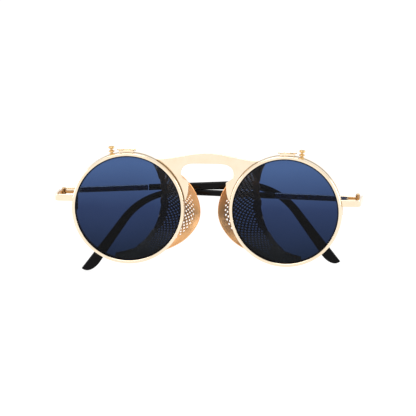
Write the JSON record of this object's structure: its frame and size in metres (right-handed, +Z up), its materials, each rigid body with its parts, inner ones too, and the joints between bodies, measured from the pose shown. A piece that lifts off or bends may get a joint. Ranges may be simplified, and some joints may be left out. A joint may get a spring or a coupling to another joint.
{
  "type": "round flip-up steampunk sunglasses",
  "caption": "Round gold-rimmed sunglasses with flip-up tinted lenses, a keyhole bridge, perforated nose shields and folding temples.",
  "frame": {"origin": "middle of the bridge plate's flat front face, above the keyhole, midway between the two eyewires", "axes": "+X to the right as seen from the front, +Y from the front towards the wearer, +Z up as worn"},
  "size_m": [0.1402, 0.0328, 0.0647],
  "materials": {
    "gold_plate": "polished pale gold plate",
    "gilt_screw": "gilt screws and pins, slightly duller",
    "clear_lens": "clear, polished",
    "tinted_lens": "blue-grey tint, polished",
    "black_tip": "glossy black"
  },
  "bodies": {
    "root": {"bridge_plate": "gold_plate", "left_eyewire": "gold_plate", "left_clear_lens": "clear_lens", "left_end_piece": "gold_plate", "left_frame_hinge_leaf": "gold_plate", "left_nose_shield": "gold_plate", "left_rim_lock_upper": "gold_plate", "left_rim_lock_lower": "gold_plate", "left_rim_lock_screw": "gilt_screw", "left_flip_hinge_bracket": "gold_plate", "left_flip_hinge_pin": "gilt_screw", "left_temple_hinge_screw": "gilt_screw", "right_eyewire": "gold_plate", "right_clear_lens": "clear_lens", "right_end_piece": "gold_plate", "right_frame_hinge_leaf": "gold_plate", "right_nose_shield": "gold_plate", "right_rim_lock_upper": "gold_plate", "right_rim_lock_lower": "gold_plate", "right_rim_lock_screw": "gilt_screw", "right_flip_hinge_bracket": "gold_plate", "right_flip_hinge_pin": "gilt_screw", "right_temple_hinge_screw": "gilt_screw"},
    "left_flip": {"left_flip_rim": "gold_plate", "left_tinted_lens": "tinted_lens", "left_flip_knuckle": "gold_plate", "left_flip_stud": "gold_plate"},
    "right_flip": {"right_flip_rim": "gold_plate", "right_tinted_lens": "tinted_lens", "right_flip_knuckle": "gold_plate", "right_flip_stud": "gold_plate"},
    "left_temple": {"left_temple_arm": "gold_plate", "left_temple_hinge_leaf": "gold_plate", "left_temple_tip": "black_tip"},
    "right_temple": {"right_temple_arm": "gold_plate", "right_temple_hinge_leaf": "gold_plate", "right_temple_tip": "black_tip"}
  },
  "joints": [
    {"name": "left_flip_up", "type": "hinge", "parent": "root", "child": "left_flip", "pos_m": [-0.0369, -0.00055, 0.0037], "axis": [-1, 0, 0], "range_deg": [0, 90]},
    {"name": "right_flip_up", "type": "hinge", "parent": "root", "child": "right_flip", "pos_m": [0.0369, -0.00055, 0.0037], "axis": [-1, 0, 0], "range_deg": [0, 90]},
    {"name": "left_temple_open", "type": "hinge", "parent": "root", "child": "left_temple", "pos_m": [-0.0677, 0.0151, -0.0204], "axis": [0, 0, 1], "range_deg": [0, 86]},
    {"name": "right_temple_open", "type": "hinge", "parent": "root", "child": "right_temple", "pos_m": [0.0677, 0.0151, -0.0204], "axis": [0, 0, -1], "range_deg": [0, 79.12]}
  ],
  "couplings": [
    {"joint": "right_temple_open", "follows": "left_temple_open", "ratio": 0.92}
  ]
}
